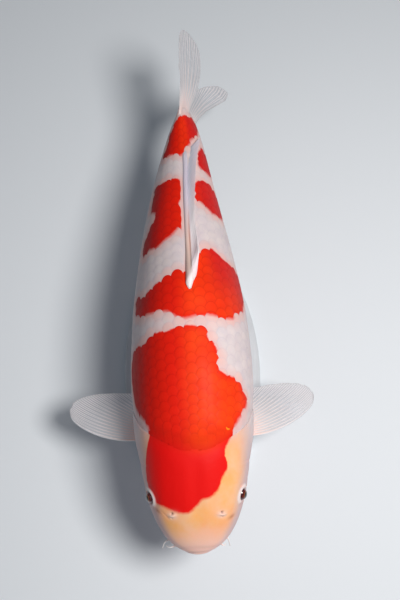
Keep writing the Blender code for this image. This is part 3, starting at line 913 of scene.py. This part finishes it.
# The tail's lean to the right going up, and each lobe's root and edge: (along, millimetres up)
TAIL_LEAN = {
    "upper": smooth_profile(((.96, .25), (1.0, .27), (1.05, .34), (1.10, .47), (1.20, .50))),
    "lower": smooth_profile(((.96, .20), (1.05, .19), (1.08, .25), (1.106, .43), (1.13, .58))),
}
TAIL_LOBES = {
    "upper": (
        ((.985, 26), (.98, 14), (.985, 0)),
        ((1.03, 37), (1.10, 49), (1.15, 55), (1.185, 55), (1.202, 44), (1.204, 26),
         (1.190, 10), (1.150, 3), (1.095, 0)),
    ),
    "lower": (
        ((.985, -25), (.98, -13), (.985, 0)),
        ((1.02, -32), (1.06, -38), (1.106, -48), (1.140, -57), (1.158, -57), (1.152, -38),
         (1.126, -17), (1.095, 0)),
    ),
}


def make_caudal_fin(material):
    """The forked tail in two lobes that meet at its middle ray."""
    for lobe, (root_line, edge_line) in TAIL_LOBES.items():
        flat_lobe = fan(root_line, edge_line, bow=(0, 0))
        lean = TAIL_LEAN[lobe]

        def surface(out, across):
            along, height = np.moveaxis(flat_lobe(out, across), -1, 0)
            x = side_bend(along) - lean(along) * height
            return np.stack((x * MM, world_y(along), height * MM + AXIS_HEIGHT), axis=-1)

        make_fin(f"caudal_fin_{lobe}", surface, 12, material, rows=48, root_thick=8.0,
                 spine=2, flesh=0.20)


# Eyes and feelers

def make_tube(name, node, points, ends, material, attributes):
    """Rings of points, closed at both ends; attributes end with the values of the two ends."""
    make_piece(
        name, (node,), np.concatenate((points.reshape(-1, 3), ends)),
        tube_faces(*points.shape[:2]), material, attributes,
    )


def make_eyes(material):
    """A ball that bulges in front; its colours go by the angle from its axis."""
    rings, columns = 48, 64
    theta = np.linspace(0, np.pi, rings + 1)[1:-1]
    phi = np.arange(columns) / columns * 2 * np.pi
    radius = EYE_RADIUS * np.minimum(0.988 + 0.035 * bell(theta, 0.42), 1.0)
    for side, turn in (("left", EYE_TURN), ("right", 180 - EYE_TURN)):
        low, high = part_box(f"eye_{side}")
        centre = np.array((low + high) / 2)
        backward, round_edge, outward = surface_axes(EYE_ALONG, turn)
        ring = np.cos(phi)[:, None] * backward + np.sin(phi)[:, None] * round_edge
        points = centre + radius[:, None, None] * (
            np.cos(theta)[:, None, None] * outward + np.sin(theta)[:, None, None] * ring
        )
        ends = (centre + outward * radius[0], centre - outward * radius[-1])
        angle = np.concatenate((np.repeat(theta, columns), (0, np.pi)))
        spin = np.concatenate((np.tile(phi, len(theta)), (0, 0)))
        make_tube(f"eye_{side}_ball", f"eye_{side}", points, ends, material,
                  {"from_axis": np.degrees(angle), "spin": np.cos(spin * 9)})


def make_barbels(material):
    """Two soft tapered feelers on each side of the mouth, those on the left held closer in."""
    # The root's along and turn; then, in millimetres, the middle and tip from it, and the radius
    feelers = {
        "upper": (0.018, -12.0, (5, -1, -2), (9, 1, -6), 1.00),
        "lower": (0.034, -28.0, (5, -3, -4), (8, -8, -12), 1.30),
    }
    steps, sides = 30, 14
    share = np.linspace(0, 1, steps)
    around = np.arange(sides) / sides * 2 * np.pi
    for level, (along, turn, bend, tip, radius) in feelers.items():
        width = radius * MM * (0.96 - 0.60 * share ** 0.8) * (1 + 0.05 * np.sin(share * 70))
        for side, sign, spread in (("left", 1, 0.5), ("right", -1, 1.0)):
            place = turn if sign > 0 else 180 - turn
            outward = surface_axes(along, place)[2]
            root = body_point(along, place) + outward * radius * 0.2 * MM
            stretch = np.array((sign * spread, 1, 1)) * MM
            line = curve_through(
                [root, root + np.array(bend) * stretch, root + np.array(tip) * stretch], share
            )
            line[0] = line[0] - outward * 1.2 * MM
            heading = unit(np.gradient(line, axis=0))
            first = unit(np.cross(heading, (0, 0, 1.0)))
            second = np.cross(heading, first)
            ring = np.cos(around)[:, None] * first[:, None]
            ring = ring + np.sin(around)[:, None] * second[:, None]
            points = line[:, None] + ring * width[:, None, None]
            ends = (line[0], line[-1] + heading[-1] * width[-1])
            node = f"barbel_{level}_{side}"
            make_tube(f"{node}_feeler", node, points, ends, material,
                      {"tipward": np.concatenate((np.repeat(share, sides), (0, 1)))})


# Materials

def linear(red, green, blue):
    """A colour given as 0 to 255 on a screen, as light."""
    values = []
    for value in (red, green, blue):
        value = value / 255
        values.append(value / 12.92 if value <= 0.04045 else ((value + 0.055) / 1.055) ** 2.4)
    return (*values, 1.0)


WHITE = linear(224, 208, 207)
# lilac grey for the white's clouds and the feelers' grain, and for painted shade on white scales
WHITE_SHADE = linear(196, 180, 192)
PINK = linear(238, 178, 168)
HEAD_CREAM = linear(250, 178, 98)
HEAD_PALE = linear(246, 190, 142)
HEAD_BLUSH = linear(248, 164, 126)
# the head's sides: partly their own paler skin, partly painted shade
HEAD_SIDE_SHADED = linear(204, 170, 170)
LIP_PINK = linear(250, 206, 196)
FLAP_PINK = linear(240, 212, 204)
ORBIT_WHITE = linear(234, 216, 214)
# painted shade in the nostrils' pits and the lateral line's pores
PIT_SHADE = linear(96, 52, 42)
BROWN_STREAK = linear(170, 104, 72)
RED_HEAD = linear(232, 14, 10)
RED_SCALE = linear(233, 30, 12)
RED_ORANGE = linear(252, 66, 12)
# deep red that stands for painted shade on red skin and scales
RED_IN_SHADE = linear(165, 6, 10)
RED_CRIMSON = linear(188, 14, 36)
FLECK = linear(255, 150, 30)
FEELER_ROOT = linear(248, 222, 214)
FEELER_TIP = linear(252, 244, 242)
FIN_PALE = linear(232, 221, 222)
FIN_ROOT = linear(238, 200, 190)
FIN_CLEAR = linear(204, 206, 216)
FOLDED_ROOT = linear(238, 204, 192)
FOLDED_TIP = linear(246, 232, 232)
FOLDED_PALE = linear(236, 222, 226)
# lilac of the folded fin's rear: painted shade with a painted bluish reflection
FOLDED_REAR_ROOT_SHADED = linear(208, 198, 212)
FOLDED_REAR_SHADED = linear(212, 206, 228)
# brown of painted shade along the folded fin's crease
CREASE_SHADE = linear(176, 104, 84)
PUPIL = linear(12, 6, 8)
IRIS_DARK = linear(70, 14, 14)
IRIS_BROWN = linear(112, 40, 26)
IRIS_GOLD = linear(200, 140, 80)
IRIS_OUTER = linear(58, 20, 22)
EYE_WHITE = linear(220, 205, 205)
PAINT_DARK = linear(204, 208, 213)
PAINT_LIGHT = linear(215, 219, 224)
PAINT_BLOTCH = linear(192, 196, 201)
BARE_WOOD = linear(150, 128, 104)
STEEL_DARK = linear(150, 151, 153)
STEEL_LIGHT = linear(190, 191, 193)
PAPER = linear(226, 231, 236)

# How deep red, green and blue light sink in, for each unit of the scale
SKIN_DEPTHS = (1.0, 0.45, 0.3)
FIN_DEPTHS = (1.0, 0.90, 0.90)


class Number:
    """A number that changes over a surface; what is worked out with it becomes nodes."""

    def __init__(self, shader, socket):
        self.shader = shader
        self.socket = socket

    def __add__(self, other):
        return self.shader.maths("ADD", self, other)

    def __sub__(self, other):
        return self.shader.maths("SUBTRACT", self, other)

    def __mul__(self, other):
        return self.shader.maths("MULTIPLY", self, other)

    def __truediv__(self, other):
        return self.shader.maths("DIVIDE", self, other)

    def ramp(self, low, high):
        """0 at low and 1 at high, easing out of one and into the other."""
        node = self.shader.add("MapRange", {"Value": self, "From Min": low, "From Max": high})
        node.interpolation_type = "SMOOTHSTEP"
        return Number(self.shader, node.outputs["Result"])


class Shader:
    """Short names for building one material's nodes."""

    def __init__(self, name):
        self.material = bpy.data.materials.new(name)
        self.material.use_nodes = True
        self.tree = self.material.node_tree
        self.shader = self.tree.nodes["Principled BSDF"]

    def put(self, socket, value):
        """Links a socket to a number or a colour from nodes, or sets it to a constant."""
        if isinstance(value, Number):
            value = value.socket
        if isinstance(value, bpy.types.NodeSocket):
            self.tree.links.new(value, socket)
        else:
            socket.default_value = value

    def surface(self, **values):
        """Sets or links the Principled shader's sockets, by name with _ for a space."""
        for name, value in values.items():
            self.put(self.shader.inputs[name.replace("_", " ")], value)

    def add(self, kind, values):
        """A new node with some of its sockets linked or set."""
        node = self.tree.nodes.new("ShaderNode" + kind)
        for socket, value in values.items():
            self.put(node.inputs[socket], value)
        return node

    def __getitem__(self, name):
        """The number that the mesh holds under a name."""
        node = self.add("Attribute", {})
        node.attribute_name = name
        return Number(self, node.outputs["Fac"])

    def maths(self, operation, *numbers, clamp=False):
        node = self.add("Math", dict(enumerate(numbers)))
        node.operation = operation
        node.use_clamp = clamp
        return Number(self, node.outputs[0])

    def tinted(self, colour, *tints):
        """A colour with others laid over it in turn: (share from 0 to 1, colour)."""
        for share, tint in tints:
            node = self.add("Mix", {0: share, 6: colour, 7: tint})
            node.data_type = "RGBA"
            colour = node.outputs[2]
        return colour

    def noise(self, scale, detail, stretch=(1, 1, 1)):
        place = self.add("TexCoord", {}).outputs["Object"]
        place = self.add("Mapping", {"Vector": place, "Scale": stretch}).outputs["Vector"]
        node = self.add("TexNoise", {"Vector": place, "Scale": scale, "Detail": detail})
        return Number(self, node.outputs["Fac"])

    def bump(self, height, distance, strength):
        node = self.add("Bump", {"Height": height, "Distance": distance, "Strength": strength})
        self.surface(Normal=node.outputs["Normal"])


def red_share(koi):
    """How red a point is, from its distance to the patches' edges, a little uneven."""
    depth = koi["red"] + (koi.noise(260, 2) - 0.5) * 1.6
    return koi.maths("ADD", depth / koi["fade"] * 0.5, 0.5, clamp=True)


def white_colour(koi):
    """Mottled white skin that is pinker near red."""
    return koi.tinted(
        WHITE,
        (koi.noise(70, 4).ramp(0.66, 0.34) * 0.30, WHITE_SHADE),
        (koi["red"].ramp(-13, 0) * 0.70, PINK),
    )


def red_colour(koi):
    """Red with orange clouds towards the left and the front, deeper low down and at the right.

    The orange towards the lit left is partly the red's own hue and partly painted light; the
    deeper red low on the flanks and on the shaded right is painted shade. Behind the middle of
    the body the left flank turns crimson.
    """
    along, fold, aside = koi["along"], koi["fold"], koi["aside"]
    rearward = along.ramp(0.42, 0.58)
    orange = (koi.noise(30, 2).ramp(0.30, 0.70) * 0.45 + 0.55) * koi["red"].ramp(-2, 6)
    # painted light: more orange towards the lit left flank, besides the red's own orange clouds
    orange = orange * aside.ramp(-0.30, 0.12) * (along.ramp(0.70, 0.50) * 0.65 + 0.35)
    return koi.tinted(
        RED_SCALE,
        (orange, RED_ORANGE),
        # painted shade: deeper red low on the flanks and on the shaded right side
        (fold.ramp(0.50, 0.05) * 0.65, RED_IN_SHADE),
        (aside.ramp(-0.30, -0.85) * (rearward * 0.50 + 0.40), RED_IN_SHADE),
        (rearward * aside.ramp(0.20, 0.60) * 0.55, RED_CRIMSON),
    )


def skin_material():
    """Bare skin of the head, and what little of the body's skin shows between scales."""
    koi = Shader("koi_skin")
    bare, along, fold = koi["bare"], koi["along"], koi["fold"]
    on_head = along.ramp(0.30, 0.16) * bare
    off_red = koi["red"].ramp(0, -3)
    cream = koi.tinted(
        HEAD_PALE,
        (koi.noise(60, 3).ramp(0.25, 0.75), HEAD_CREAM),
        (koi.noise(24, 2).ramp(0.42, 0.66) * 0.45, HEAD_BLUSH),
    )
    colour = koi.tinted(
        white_colour(koi),
        # the head's sides below the cream: partly their own paler skin, partly painted shade
        (on_head * (fold.ramp(-0.60, 0.05) * 0.45 + 0.30), HEAD_SIDE_SHADED),
        (fold.ramp(0.22, 0.52) * on_head * 0.92, cream),
        (along.ramp(0.056, 0.006) * 0.78, LIP_PINK),
        (koi["lip"] * 0.75, LIP_PINK),
        (red_share(koi), koi.tinted(red_colour(koi), (bare, RED_HEAD))),
        # painted shade: darker, pinker colour in the grooves of the gill cover and cheek
        (koi["groove"] * off_red * 0.45, PINK),
        # brown streaks beside the nostrils, off the red
        (koi["brown_streak"] * off_red * 0.60, BROWN_STREAK),
        (koi["flap"] * 0.80, FLAP_PINK),
        (koi["orbit"].ramp(0.05, 0.85), ORBIT_WHITE),
        # painted shade in the nostrils' pits
        (koi["pit"] * 0.75, PIT_SHADE),
    )
    koi.surface(
        Base_Color=colour,
        Roughness=0.52,
        Specular_IOR_Level=0.16,
        Coat_Weight=0.05,
        Coat_Roughness=0.24,
        Subsurface_Weight=0.18,
        Subsurface_Scale=0.004,
        Subsurface_Radius=SKIN_DEPTHS,
    )
    pores, ripple = koi.noise(1400, 2), koi.noise(160, 3)
    koi.bump(pores * 0.35 + ripple, 0.00035, 0.5)
    return koi.material


def scale_material():
    """Scales with painted shade at root, free edge and pores, and with growth lines."""
    koi = Shader("koi_scales")
    x, y, rim = koi["scale_x"], koi["scale_y"], koi["rim"]
    reddened = red_share(koi)
    # painted shade: a darker white or red for the roots and free edges
    shade = koi.tinted(WHITE_SHADE, (reddened, RED_IN_SHADE))
    from_fleck = koi.maths("POWER", x * 2.4 - 1.7, 2) + koi.maths("POWER", y * 1.8, 2)
    pore = koi.maths("ABSOLUTE", y).ramp(0.085, 0.03) * x.ramp(0.30, 0.45) * x.ramp(0.80, 0.68)
    colour = koi.tinted(
        white_colour(koi),
        (reddened, koi.tinted(red_colour(koi), (koi["bare"], RED_HEAD))),
        # painted shade where the scale in front overlaps the root, and along the free edge
        (x.ramp(0.40, 0) * 0.09, shade),
        (rim.ramp(0.84, 0.97) * x.ramp(0, 0.4) * 0.22, shade),
        (koi["fleck"] * from_fleck.ramp(1.0, 0.5) * 0.9, FLECK),
        # painted shade in the lateral line's pores
        (pore * koi["pored"] * 0.16, PIT_SHADE),
    )
    shift = koi.add("HueSaturation", {"Color": colour, "Value": koi["tone"] * 0.025 + 1.0})
    koi.surface(
        Base_Color=shift.outputs["Color"],
        Roughness=0.58,
        Specular_IOR_Level=0.10,
        Coat_Weight=0.03,
        Coat_Roughness=0.30,
        Subsurface_Weight=0.12,
        Subsurface_Scale=0.003,
        Subsurface_Radius=SKIN_DEPTHS,
    )
    growth = koi.maths("SINE", rim * 70)
    koi.bump(growth * 0.12 + koi.noise(900, 3), 0.00018, 0.5)
    return koi.material


def soften_fin(fin):
    """What both fin materials share: a soft sheen and light that sinks deep in."""
    fin.surface(
        Specular_IOR_Level=0.30,
        Subsurface_Weight=0.70,
        Subsurface_Scale=0.004,
        Subsurface_Radius=FIN_DEPTHS,
    )


def fin_material():
    """Pale bony rays in a membrane that turns clear towards the free edge."""
    fin = Shader("fin_membrane")
    ray, out, flesh = fin["ray"], fin["out"], fin["flesh"]
    membrane = fin.tinted(FIN_PALE, (out.ramp(0.1, 0.8) * 0.8, FIN_CLEAR))
    warm = fin.tinted(FIN_ROOT, (out.ramp(0.05, 0.75), FIN_PALE))
    colour = fin.tinted(membrane, (ray.ramp(0.15, 0.75), warm), (flesh * 0.8, FIN_ROOT))
    clear = out.ramp(0.12, 0.85)
    leading = fin["across"].ramp(0.06, 0.01)
    solid = fin.maths("MAXIMUM", ray.ramp(0.05, 0.8), fin.maths("MAXIMUM", flesh, leading))
    alpha = fin.maths(
        "ADD", clear * -0.40 + 0.92, solid * (clear * 0.20 + 0.08), clamp=True
    )
    fin.surface(Base_Color=colour, Roughness=0.40, Alpha=alpha)
    soften_fin(fin)
    joints = fin.maths("SINE", out * 190)
    fin.bump(joints * ray * 0.2 + fin.noise(700, 2), 0.0002, 0.5)
    return fin.material


def folded_fin_material():
    """The dorsal fin lies folded, so nothing shows through: cream in front, lilac behind.

    The lilac is painted shade with a painted bluish reflection, and a brown line along the
    crease is painted shade.
    """
    fin = Shader("folded_fin_membrane")
    ray, out, across = fin["ray"], fin["out"], fin["across"]
    # painted shade and a painted bluish reflection: lilac towards the rear
    rearward = across.ramp(0.22, 0.70)
    sheet = fin.tinted(FOLDED_PALE, (rearward, FOLDED_REAR_SHADED))
    crease = across.ramp(0.04, 0.14) * across.ramp(0.55, 0.25)
    colour = fin.tinted(
        FOLDED_ROOT,
        (rearward, FOLDED_REAR_ROOT_SHADED),
        (across.ramp(0.10, 0.02), FOLDED_TIP),
        (out.ramp(0.15, 0.50), sheet),
        (ray.ramp(0.15, 0.75) * out.ramp(0.18, 0.45) * 0.35, FIN_PALE),
        # painted shade: a brown line along the crease between the fleshy root and the folded
        # sheet
        (out.ramp(0.14, 0.26) * out.ramp(0.44, 0.32) * crease * 0.8, CREASE_SHADE),
    )
    fin.surface(Base_Color=colour, Roughness=0.42)
    soften_fin(fin)
    fin.bump(fin.noise(700, 2), 0.0002, 0.5)
    return fin.material


def eye_material():
    """Pupil, iris with a thin gold ring, and white, by the angle from the eye's axis."""
    eye = Shader("eye_surface")
    angle = eye["from_axis"]
    threads = eye["spin"] * 0.15 + eye.noise(900, 3)
    colour = eye.tinted(
        IRIS_DARK,
        (threads.ramp(0.3, 0.8), IRIS_BROWN),
        (angle.ramp(31, 32.5) * angle.ramp(36, 34) * 0.55, IRIS_GOLD),
        (angle.ramp(46, 60) * 0.8, IRIS_OUTER),
        (angle.ramp(31.5, 30.5), PUPIL),
        (angle.ramp(67, 70), EYE_WHITE),
    )
    eye.surface(Base_Color=colour, Roughness=0.18, Coat_Weight=1.0, Coat_Roughness=0.03)
    eye.bump(threads, 0.0001, 0.3)
    return eye.material


def barbel_material():
    """Soft skin, paler towards the tip."""
    feeler = Shader("feeler_skin")
    grain = feeler.noise(1500, 3)
    colour = feeler.tinted(
        FEELER_ROOT,
        (feeler["tipward"].ramp(0, 0.4), FEELER_TIP),
        (grain * 0.10, WHITE_SHADE),
    )
    feeler.surface(Base_Color=colour, Roughness=0.4, Coat_Weight=0.2, Coat_Roughness=0.2)
    feeler.bump(grain, 0.0001, 0.4)
    return feeler.material


def painted_wood():
    """Pale matt paint on wood, its grain just showing and its edge a little worn."""
    paint = Shader("painted_wood")
    grain = paint.noise(22, 6, stretch=(14, 1.2, 14))
    blotch = paint.noise(14, 3)
    edge = Number(paint, paint.add("NewGeometry", {}).outputs["Pointiness"]).ramp(0.53, 0.60)
    colour = paint.tinted(
        PAINT_DARK,
        (grain.ramp(0.3, 0.7), PAINT_LIGHT),
        (blotch * 0.25, PAINT_BLOTCH),
        (edge * paint.noise(160, 4).ramp(0.45, 0.6) * 0.6, BARE_WOOD),
    )
    paint.surface(Base_Color=colour, Roughness=blotch * 0.15 + 0.42)
    paint.bump(grain, 0.0004, 0.35)
    return paint.material


def brushed_steel():
    """Steel brushed round the rods."""
    steel = Shader("brushed_steel")
    lines = steel.noise(60, 5, stretch=(3, 3, 60))
    colour = steel.tinted(STEEL_DARK, (lines, STEEL_LIGHT))
    steel.surface(Base_Color=colour, Roughness=lines * 0.2 + 0.22, Metallic=1.0)
    steel.bump(lines, 0.00006, 0.4)
    return steel.material


def finish_stand():
    """The stand's own solids, painted or brushed."""
    wood, steel = painted_wood(), brushed_steel()
    for name, material in (
        ("stand_base", wood), ("stand_rod_front", steel), ("stand_rod_rear", steel)
    ):
        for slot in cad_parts[name].material_slots:
            slot.material = material


# Studio

CAMERA_ELEVATION = 70.0
CAMERA_TURN = -2.0
CAMERA_DISTANCE = 1.0
CAMERA_LENS = 53.6
AIM_BEHIND_SNOUT = 0.27326
AIM_ASIDE = 0.0015
FLOOR_REACH = 6.0


def make_camera():
    """Looks down on the fish from above its head, its tail away at the top of the picture."""
    data = bpy.data.cameras.new("camera")
    data.lens = CAMERA_LENS
    data.sensor_width = 36
    camera = add_object("camera", data)
    turned = Matrix.Rotation(math.radians(CAMERA_TURN), 4, "Z")
    aim = turned @ Vector((AIM_ASIDE, AIM_BEHIND_SNOUT, 0)) + Vector((0, SNOUT_Y, AXIS_HEIGHT))
    elevation = math.radians(CAMERA_ELEVATION)
    back = turned @ Vector((0, -math.cos(elevation), math.sin(elevation)))
    tilt = Matrix.Rotation(math.radians(90 - CAMERA_ELEVATION), 4, "X")
    camera.matrix_world = Matrix.Translation(aim + back * CAMERA_DISTANCE) @ turned @ tilt
    bpy.context.scene.camera = camera


def make_lamp(name, place, size, power, colour):
    """A round lamp that faces the middle of the model."""
    data = bpy.data.lights.new(name, "AREA")
    data.shape = "DISK"
    data.size = size
    data.energy = power
    data.color = colour
    lamp = add_object(name, data)
    lamp.location = place
    aim = (CAD_BOX[0] + CAD_BOX[1]) / 2 - Vector(place)
    lamp.rotation_euler = aim.to_track_quat("-Z", "Y").to_euler()


def make_floor():
    """A large sheet of pale paper."""
    mesh = bpy.data.meshes.new("floor")
    low, high = -FLOOR_REACH, FLOOR_REACH
    corners = [(low, low, 0), (high, low, 0), (high, high, 0), (low, high, 0)]
    mesh.from_pydata(corners, [], [(0, 1, 2, 3)])
    floor = add_object("floor", mesh)
    paper = Shader("floor_paper")
    paper.surface(Base_Color=PAPER, Roughness=0.85)
    mesh.materials.append(paper.material)


def make_studio():
    """A pale floor, a soft key from the fish's left and pale light all round."""
    make_floor()
    make_lamp("key", (0.50, -0.24, 1.30), size=0.50, power=17.2, colour=(1.0, 0.97, 0.94))
    make_lamp("fill", (-0.45, -0.75, 1.35), size=1.2, power=1.0, colour=(0.82, 0.90, 1.0))
    world = bpy.data.worlds.new("studio")
    bpy.context.scene.world = world
    world.use_nodes = True
    background = world.node_tree.nodes["Background"]
    background.inputs["Color"].default_value = (0.80, 0.89, 1.0, 1.0)
    background.inputs["Strength"].default_value = 0.13
    bpy.context.scene.view_settings.view_transform = "Standard"


def main():
    make_camera()
    make_skin(skin_material())
    make_scales(scale_material())
    fins = fin_material()
    make_pectoral_fins(fins)
    make_pelvic_fins(fins)
    make_dorsal_fin(folded_fin_material())
    make_anal_fin(fins)
    make_caudal_fin(fins)
    make_eyes(eye_material())
    make_barbels(barbel_material())
    finish_stand()
    make_studio()


main()
